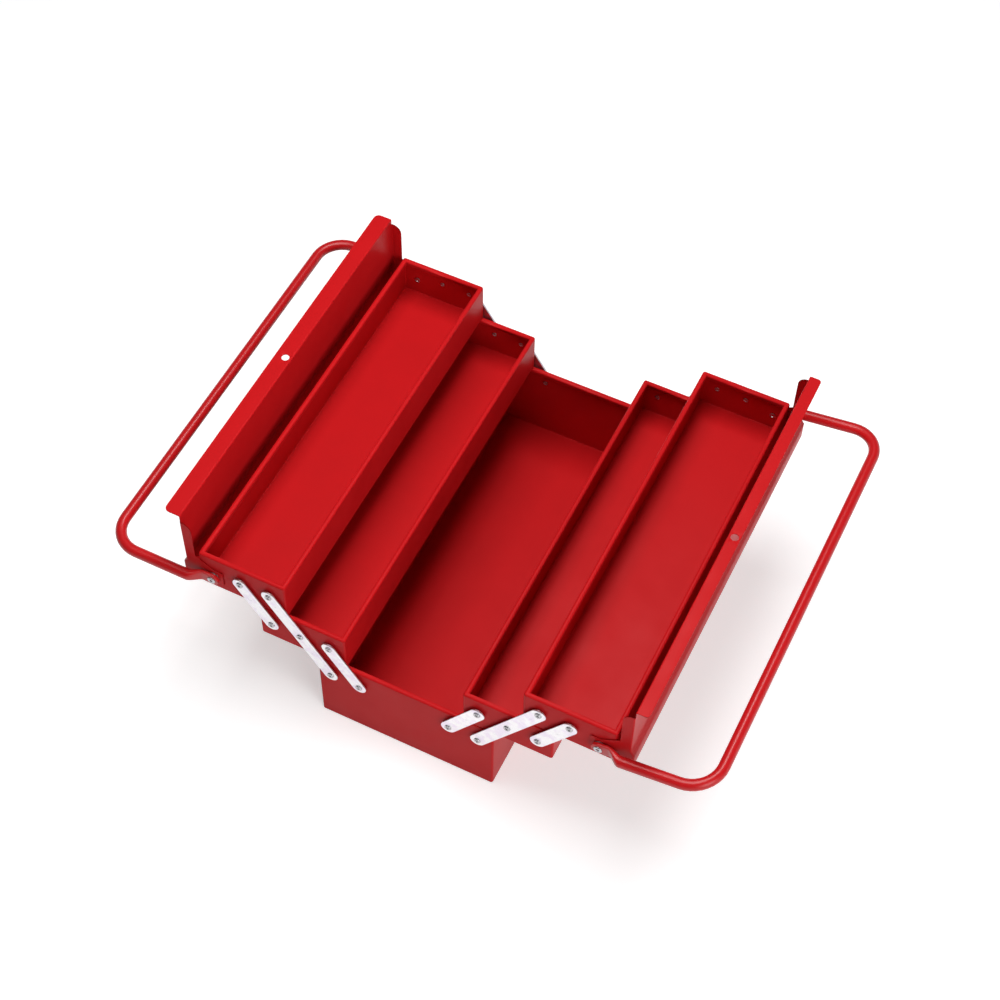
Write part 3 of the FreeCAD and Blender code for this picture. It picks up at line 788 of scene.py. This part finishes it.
class TOOLBOX_OT_lids(bpy.types.Operator):
    """Fold the two lids and turn them open about their pivots"""

    bl_idname = "toolbox.lids"
    bl_label = "Lids"

    def execute(self, context):
        sizes = context.scene.tool_box_lids
        shapes = {
            "left": (sizes.left_flange, sizes.left_corner),
            "right": (sizes.right_flange, sizes.right_corner),
        }
        for side, sign in SIDES.items():
            low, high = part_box(f"lid_{side}")
            pivot = PIVOTS[f"{side}_lid_hinge"]
            tab_low, crest = sorted(sign * (corner.x - pivot.x) for corner in (low, high))
            mesh = folded_lid(
                high.z - pivot.z, pivot.z - low.z, tab_low, crest, high.y, *shapes[side], sizes
            )
            open_turn = Matrix.Rotation(math.radians(90), 4, "Y")
            facing = Matrix.Rotation(0 if sign > 0 else math.pi, 4, "Z")
            mesh.transform(Matrix.Translation(pivot) @ facing @ open_turn)
            piece = add_piece(
                f"lid_{side}_sheet", mesh, f"lid_{side}_body", "enamel_lids", [f"lid_{side}"]
            )
            thicken(piece, sizes.sheet)
        return {"FINISHED"}


# Levers

# Faces round a quarter of a lever's end, and round a dimple
END_STEPS = 10
DIMPLE_STEPS = 20

# Radius of a lever's end as a share of its width: a hair under half, so that bevel isn't clamped
END_ROUND = 0.4999

# Each step into a dimple: how far its ring narrows, and its share of the depth
DIMPLE_FORM = ((0.82, 0.45), (0.62, 0.3), (0.5, 0.25))


def flat_lever(reach, width, thickness, dimples, sizes):
    """A round-ended flat bar from its lower pivot along X, its outer face at Z 0."""
    mesh = bmesh.new()
    bmesh.ops.create_grid(
        mesh, x_segments=1, y_segments=1, size=0.5,
        matrix=Matrix.Translation((reach / 2, 0, -sizes.edge))
        @ Matrix.Diagonal((reach + width, width, 1, 1)),
    )
    round_corners(mesh, mesh.verts[:], width * END_ROUND, END_STEPS)
    bmesh.ops.remove_doubles(mesh, verts=mesh.verts, dist=MERGE)
    outline = mesh.edges[:]
    bmesh.ops.inset_region(
        mesh, faces=mesh.faces[:], thickness=sizes.edge, depth=sizes.edge, use_boundary=True,
        use_even_offset=True,
    )
    # The chamfer's faces have four corners each; the flat face has many
    flat = [face for face in mesh.faces if len(face.verts) > 4]
    rim = [edge for face in flat for edge in face.edges]
    bmesh.ops.delete(mesh, geom=flat, context="FACES_ONLY")
    rings = []
    for place in dimples:
        ring = bmesh.ops.create_circle(
            mesh, cap_ends=False, radius=sizes.dimple_radius, segments=DIMPLE_STEPS,
            matrix=Matrix.Translation((place, 0, 0)),
        )
        rings.append(edges_at(ring["verts"]))
    bmesh.ops.triangle_fill(
        mesh, edges=rim + [edge for ring in rings for edge in ring], use_beauty=True,
        use_dissolve=False,
    )
    for place, ring in zip(dimples, rings):
        centre = Matrix.Translation((-place, 0, 0))
        for narrowed, share in DIMPLE_FORM:
            ring, verts = extrude_edges(mesh, ring, (0, 0, -share * sizes.dimple_depth))
            bmesh.ops.scale(mesh, verts=verts, vec=(narrowed, narrowed, 1), space=centre)
        bmesh.ops.contextual_create(mesh, geom=ring)
    back, _ = extrude_edges(
        mesh, [edge for edge in outline if edge.is_valid], (0, 0, sizes.edge - thickness)
    )
    bmesh.ops.contextual_create(mesh, geom=back)
    bmesh.ops.recalc_face_normals(mesh, faces=mesh.faces)
    return mesh


class TOOLBOX_OT_levers(bpy.types.Operator):
    """Cut the long and short levers and lay them between their pivots"""

    bl_idname = "toolbox.levers"
    bl_label = "Levers"

    def execute(self, context):
        sizes = context.scene.tool_box_levers
        # The joint of each kind's lower pivot, its length in pitches, and its dimples' places
        kinds = {
            "long_lever": ("trays_swing", 2, (sizes.long_dimple_low, sizes.long_dimple_high)),
            "lower_lever": ("lower_levers_swing", 1, (sizes.short_dimple,)),
            "upper_lever": ("upper_levers_swing", 1, (sizes.short_dimple,)),
        }
        for side in SIDES:
            step = pitch(side)
            for end, sign in ENDS.items():
                for kind, (joint, steps, shares) in kinds.items():
                    node = f"{kind}_{side}_{end}"
                    low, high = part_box(node)
                    width = high.x - low.x - abs(step.x) * steps
                    mesh = flat_lever(
                        step.length * steps, width, high.y - low.y,
                        [share * step.length for share in shares], sizes,
                    )
                    along = step.normalized()
                    outwards = Vector((0, sign, 0))
                    across = outwards.cross(along)
                    turn = Matrix((along, across, outwards)).transposed().to_4x4()
                    start = PIVOTS[f"{side}_{joint}"].copy()
                    start.y = high.y if sign > 0 else low.y
                    mesh.transform(Matrix.Translation(start) @ turn)
                    add_piece(
                        f"{node}_bar", mesh, f"{kind}s_{side}", "plated_levers", [node], sharp=25
                    )
        return {"FINISHED"}


# Rivets and washers

# Depth of a rivet's bore as a share of its length under the head
BORE_DEPTH = 0.6

# Width of the lip round the bore as a share of the head's ring
LIP_WIDTH = 0.22

# Outlines of a rivet, as shares of a radius and of a height. The bore's bottom is given in
# radii of the bore, upwards; the lip in widths of the lip, out from the bore and down from the
# crown; the head upwards from its seat; and the rolled tail upwards from its lowest point.
BORE_BOTTOM = ((0, 0), (0.8, 0.1), (1, 0.4))
LIP_FORM = ((0, 1), (0.3, 0.35), (1, 0))
HEAD_FORM = ((0.74, 0.96), (0.88, 0.78), (0.97, 0.5), (1, 0.2), (0.985, 0))
TAIL_FORM = ((0.96, 1), (1, 0.6), (0.86, 0.14), (0.7, 0), (0.52, 0.2), (0.44, 0.9), (0, 1.2))


def rivet_profile(shank, head, mouth, tail, low, crown, sizes):
    """Radius and height of a tubular rivet, from its bore over the head and down to its tail."""
    seat = crown - sizes.head_height
    bore_end = seat - BORE_DEPTH * (seat - low)
    lip = (head - mouth) * LIP_WIDTH
    return [
        *((mouth * out, bore_end + mouth * up) for out, up in BORE_BOTTOM),
        *((mouth + lip * out, crown - lip * down) for out, down in LIP_FORM),
        *((head * out, seat + sizes.head_height * up) for out, up in HEAD_FORM),
        (shank, seat),
        (shank, low + sizes.tail_height),
        *((tail * out, low + sizes.tail_height * up) for out, up in TAIL_FORM),
    ]


def lever_rivet_places():
    """The pivots that each tray's rivets stand on, by node stem."""
    places = {"bottom_tray": []}
    for side in SIDES:
        step = pitch(side)
        lower = PIVOTS[f"{side}_lower_levers_swing"]
        upper = PIVOTS[f"{side}_upper_levers_swing"]
        places["bottom_tray"] += [PIVOTS[f"{side}_trays_swing"], lower]
        places[f"middle_tray_{side}"] = [
            PIVOTS[f"{side}_middle_tray_level"], lower + step, upper
        ]
        places[f"top_tray_{side}"] = [PIVOTS[f"{side}_top_tray_level"], upper + step]
    return places


def add_rivets(node, body, places, sign, radii, sizes):
    """Turns a rivet at each place of an end wall and joins them, as their CAD node does."""
    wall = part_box("bottom_tray")[1].y
    tail_end, head_end = sorted(sign * corner.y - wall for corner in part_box(node))
    profile = rivet_profile(*radii, tail_end, head_end, sizes)
    group = bmesh.new()
    for place in places:
        turned = spun(profile)
        turned.transform(face_outwards(place.x, sign * wall, place.z, sign))
        data = bpy.data.meshes.new("turned")
        turned.to_mesh(data)
        turned.free()
        group.from_mesh(data)
        bpy.data.meshes.remove(data)
    add_piece(f"{node}_turned", group, body, "plated_rivets", [node], sharp=40)


class TOOLBOX_OT_rivets(bpy.types.Operator):
    """Set the levers' and the handles' rivets, and finish the washers"""

    bl_idname = "toolbox.rivets"
    bl_label = "Rivets"

    def execute(self, context):
        sizes = context.scene.tool_box_rivets
        radii = (sizes.shank, sizes.head, sizes.mouth, sizes.tail)
        for stem, places in lever_rivet_places().items():
            for end, sign in ENDS.items():
                add_rivets(f"{stem}_rivets_{end}", f"{stem}_body", places, sign, radii, sizes)
        radii = (sizes.handle_shank, sizes.handle_head, sizes.handle_mouth, sizes.handle_tail)
        for side in SIDES:
            places = [PIVOTS[f"{side}_lid_hinge"]]
            for end, sign in ENDS.items():
                add_rivets(
                    f"handle_rivet_{side}_{end}", f"top_tray_{side}_body", places, sign, radii,
                    sizes,
                )
        for name, node in frame["nodes"].items():
            if "washer" in name:
                node.data.materials.clear()
                node.data.materials.append(finish_for("plated_rivets"))
        return {"FINISHED"}


# Handles

# Faces along half the grip, round its bend, over the joggle and round a flattened end
GRIP_STEPS = 6
BAR_BEND_STEPS = 10
JOGGLE_STEPS = 10
FLAT_END_STEPS = 8

# Powers of a section's outline: 2 is an ellipse, and 5 nearly a rectangle
ROUND = 2
SQUARE = 5

# The flattened end closes at these shares of its thickness and of its width
TIP_THICKNESS = 0.9
TIP_WIDTH = 0.02

# Between a flattened end and its washer
WASHER_GAP = 0.1 * MM


def squared(share, half, power):
    """One coordinate of a section whose outline has a power, from its sine or cosine."""
    return math.copysign(abs(share) ** (2 / power), share) * half


def next_section(mesh, ring, spokes, x, y, half_thick, half_wide, power):
    """Draws a bar's last ring on to its next section; spokes holds the angle of each corner."""
    ring, verts = extrude_edges(mesh, ring)
    next_spokes = {}
    for vert in verts:
        nearest = min(spokes, key=lambda old: (old.co - vert.co).length)
        angle = spokes[nearest]
        next_spokes[vert] = angle
        vert.co = Vector((
            x, y + squared(math.cos(angle), half_thick, power),
            squared(math.sin(angle), half_wide, power),
        ))
    return ring, next_spokes


def bent_handle(side_level, flat_level, sizes):
    """A handle drawn level about its pivot: X is its reach, Y its length."""
    mesh = bmesh.new()
    turn = Matrix.Translation((sizes.reach, 0, 0)) @ Matrix.Rotation(math.radians(90), 4, "X")
    bmesh.ops.create_circle(
        mesh, cap_ends=False, radius=sizes.bar, segments=RING_STEPS, matrix=turn
    )
    ring = mesh.edges[:]
    corner = side_level - sizes.bend
    for _ in range(GRIP_STEPS):
        ring, _ = extrude_edges(mesh, ring, (0, -corner / GRIP_STEPS, 0))
    ring = swing_edges(
        mesh, ring, (sizes.reach - sizes.bend, -corner, 0), (0, 0, 1), -math.radians(90),
        BAR_BEND_STEPS,
    )
    ring, verts = extrude_edges(
        mesh, ring, (sizes.joggle_end - sizes.reach + sizes.bend, 0, 0)
    )
    spokes = {vert: math.atan2(vert.co.z, vert.co.y + side_level) for vert in verts}
    bar, thick, wide = sizes.bar, sizes.flat_thickness / 2, sizes.flat_width / 2
    # Joggle: the round bar is pressed flat and set inwards to its washer
    for step in range(1, JOGGLE_STEPS + 1):
        share = step / JOGGLE_STEPS
        ease = share * share * (3 - 2 * share)
        ring, spokes = next_section(
            mesh, ring, spokes,
            sizes.joggle_end + (sizes.joggle_start - sizes.joggle_end) * share,
            -(side_level + (flat_level - side_level) * ease),
            bar + (thick - bar) * ease, bar + (wide - bar) * ease,
            ROUND + (SQUARE - ROUND) * ease,
        )
    ring, spokes = next_section(mesh, ring, spokes, 0, -flat_level, thick, wide, SQUARE)
    # Half round the pivot, to a narrow tip that a face closes
    for step in range(1, FLAT_END_STEPS + 1):
        angle = math.radians(90) * step / FLAT_END_STEPS
        ring, spokes = next_section(
            mesh, ring, spokes, -wide * math.sin(angle), -flat_level,
            thick * (1 if step < FLAT_END_STEPS else TIP_THICKNESS),
            wide * max(math.cos(angle), TIP_WIDTH), SQUARE,
        )
    bmesh.ops.contextual_create(mesh, geom=ring)
    bmesh.ops.mirror(mesh, geom=everything(mesh), axis="Y", merge_dist=MERGE)
    bmesh.ops.remove_doubles(mesh, verts=mesh.verts, dist=MERGE)
    bmesh.ops.recalc_face_normals(mesh, faces=mesh.faces)
    return mesh


class TOOLBOX_OT_handles(bpy.types.Operator):
    """Bend the two handles and set them on their pivots"""

    bl_idname = "toolbox.handles"
    bl_label = "Handles"

    def execute(self, context):
        sizes = context.scene.tool_box_handles
        for side, sign in SIDES.items():
            node = f"handle_{side}"
            side_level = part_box(node)[1].y - sizes.bar
            washer_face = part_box(f"handle_washer_{side}_back")[1].y
            flat_level = washer_face + WASHER_GAP + sizes.flat_thickness / 2
            mesh = bent_handle(side_level, flat_level, sizes)
            lift = Matrix.Rotation(-sizes.right_lift if sign > 0 else 0, 4, "Y")
            facing = Matrix.Rotation(0 if sign > 0 else math.pi, 4, "Z")
            mesh.transform(Matrix.Translation(PIVOTS[f"{side}_handle_hinge"]) @ facing @ lift)
            add_piece(
                f"{node}_bar", mesh, f"{node}_body", "enamel_handles", [node], sharp=50
            )
        return {"FINISHED"}


# Stage

# Radius of the floor in metres, and the corners round it
FLOOR_RADIUS = 30
FLOOR_STEPS = 96

# The floor lies this far under the bottom tray, so that two faces never lie in one plane
FLOOR_DROP = 0.1 * MM

# What the floor's glow adds to its brightness, where 1 is white
FLOOR_GLOW = 0.52

# Place and aim of each lamp, in metres
LAMPS = {
    "key": ((-0.22, -0.04, 1.9), (-0.22, -0.04, 0)),
    "side": ((1.55, -1.05, 0.95), (0, 0, 0.15)),
    "fill": ((-0.05, 0.74, 1.9), (0.1, 0, 0.1)),
}

# The camera that the photograph's straight edges give: its place in metres, its turns in
# degrees, its shift in widths of the frame, and the width of its sensor in millimetres
CAMERA_PLACE = (0.52655, -1.12846, 1.93054)
CAMERA_TURNS = (35.8752, -0.1239, 26.5966)
CAMERA_SHIFT = (0.0273, -0.0224)
SENSOR_WIDTH = 36


def floor_material(colours):
    """Matt pale studio floor.

    Gives the eye a plain white that still takes the box's shadow: the eye, metal and glass see
    it lighter than it lights its surroundings.
    """
    material, tree, output = new_material("matt_studio_floor")
    rays = add_node(tree, "ShaderNodeLightPath")
    seen = add_node(
        tree, "ShaderNodeMath", links={
            0: rays.outputs["Is Camera Ray"], 1: rays.outputs["Is Glossy Ray"]
        }, operation="MAXIMUM",
    )
    seen_through = add_node(
        tree, "ShaderNodeMath", links={
            0: seen.outputs["Value"], 1: rays.outputs["Is Transmission Ray"]
        }, operation="MAXIMUM",
    )
    lift = add_node(
        tree, "ShaderNodeMath", {1: FLOOR_GLOW}, {0: seen_through.outputs["Value"]},
        operation="MULTIPLY",
    )
    matt = add_node(tree, "ShaderNodeBsdfDiffuse", {"Color": rgba(colours.floor)})
    glow = add_node(
        tree, "ShaderNodeEmission", {"Color": (1, 1, 1, 1)}, {"Strength": lift.outputs["Value"]}
    )
    both = add_node(
        tree, "ShaderNodeAddShader", links={0: matt.outputs["BSDF"], 1: glow.outputs["Emission"]}
    )
    tree.links.new(both.outputs["Shader"], output.inputs["Surface"])
    return material


def studio_air():
    """Room round the stage: dim overhead, pale at the horizon and palest on the right."""
    world = bpy.data.worlds.new("studio_air")
    world.use_nodes = True
    tree = world.node_tree
    tree.nodes.clear()
    output = add_node(tree, "ShaderNodeOutputWorld")
    direction = add_node(tree, "ShaderNodeTexCoord").outputs["Generated"]
    heading = add_node(tree, "ShaderNodeSeparateXYZ", links={"Vector": direction})
    # Strength at the horizon, from the left round to the right
    horizon = add_node(
        tree, "ShaderNodeMapRange",
        {"From Min": -0.1, "From Max": 0.9, "To Min": 0.3, "To Max": 1.1},
        {"Value": heading.outputs["X"]}, interpolation_type="SMOOTHSTEP",
    )
    # It fades with height and is dim from some 24 degrees up
    fade = add_node(
        tree, "ShaderNodeMapRange",
        {"From Min": 0.05, "From Max": 0.4, "To Max": 0.05},
        {"Value": heading.outputs["Z"], "To Min": horizon.outputs["Result"]},
        interpolation_type="SMOOTHSTEP",
    )
    light = add_node(
        tree, "ShaderNodeBackground", {"Color": (1, 1, 1, 1)}, {"Strength": fade.outputs["Result"]}
    )
    tree.links.new(light.outputs["Background"], output.inputs["Surface"])
    return world


def area_lamp(name, place, aim, size, power):
    """A soft square lamp at a place, turned towards a point."""
    lamp = bpy.data.lights.new(name, "AREA")
    lamp.shape = "SQUARE"
    lamp.size = size
    lamp.energy = power
    holder = bpy.data.objects.new(name, lamp)
    bpy.context.scene.collection.objects.link(holder)
    holder.location = place
    holder.rotation_euler = (Vector(aim) - Vector(place)).to_track_quat("-Z", "Y").to_euler()


class TOOLBOX_OT_stage(bpy.types.Operator):
    """Lay the floor, hang the lamps and set the camera"""

    bl_idname = "toolbox.stage"
    bl_label = "Stage"

    def execute(self, context):
        scene = context.scene
        sizes = scene.tool_box_stage
        mesh = bmesh.new()
        bmesh.ops.create_circle(
            mesh, cap_ends=True, radius=FLOOR_RADIUS, segments=FLOOR_STEPS
        )
        move(mesh, mesh.verts, (0, 0, -FLOOR_DROP))
        data = bpy.data.meshes.new("studio_floor")
        mesh.to_mesh(data)
        mesh.free()
        data.materials.append(floor_material(scene.tool_box_colours))
        floor = bpy.data.objects.new("studio_floor", data)
        scene.collection.objects.link(floor)
        scene.world = studio_air()
        for name, (place, aim) in LAMPS.items():
            area_lamp(
                name, place, aim, getattr(sizes, f"{name}_size"), getattr(sizes, f"{name}_power")
            )
        camera = bpy.data.cameras.new("camera")
        camera.sensor_width = SENSOR_WIDTH
        camera.lens = sizes.lens
        camera.shift_x, camera.shift_y = CAMERA_SHIFT
        eye = bpy.data.objects.new("camera", camera)
        scene.collection.objects.link(eye)
        eye.location = CAMERA_PLACE
        eye.rotation_euler = [math.radians(turn) for turn in CAMERA_TURNS]
        scene.camera = eye
        scene.view_settings.view_transform = "Standard"
        return {"FINISHED"}


# Add-on

OPERATORS = (
    TOOLBOX_OT_trays, TOOLBOX_OT_lids, TOOLBOX_OT_levers, TOOLBOX_OT_rivets,
    TOOLBOX_OT_handles, TOOLBOX_OT_stage,
)
GROUPS = {
    "tool_box_trays": TraySizes, "tool_box_lids": LidSizes, "tool_box_levers": LeverSizes,
    "tool_box_rivets": RivetSizes, "tool_box_handles": HandleSizes,
    "tool_box_colours": FinishColours, "tool_box_stage": StageSizes,
}


class TOOLBOX_PT_sidebar(bpy.types.Panel):
    """The tool box's operators and sizes."""

    bl_idname = "TOOLBOX_PT_sidebar"
    bl_label = "Tool Box"
    bl_space_type = "VIEW_3D"
    bl_region_type = "UI"
    bl_category = "Tool Box"

    def draw(self, context):
        for operator in OPERATORS:
            self.layout.operator(operator.bl_idname)
        for group in GROUPS:
            sizes = getattr(context.scene, group)
            box = self.layout.box()
            for name in sizes.__annotations__:
                box.prop(sizes, name)


def register():
    """Registers the property groups, the operators and the panel."""
    for name, group in GROUPS.items():
        bpy.utils.register_class(group)
        setattr(bpy.types.Scene, name, PointerProperty(type=group))
    for shown in OPERATORS + (TOOLBOX_PT_sidebar,):
        bpy.utils.register_class(shown)


def unregister():
    """Takes all of it away again."""
    for shown in OPERATORS + (TOOLBOX_PT_sidebar,):
        bpy.utils.unregister_class(shown)
    for name, group in GROUPS.items():
        delattr(bpy.types.Scene, name)
        bpy.utils.unregister_class(group)


def main():
    """Builds the tool box and its stage."""
    register()
    bpy.ops.toolbox.trays()
    bpy.ops.toolbox.lids()
    bpy.ops.toolbox.levers()
    bpy.ops.toolbox.rivets()
    bpy.ops.toolbox.handles()
    bpy.ops.toolbox.stage()
    bpy.context.view_layer.update()


if __name__ == "__main__":
    main()
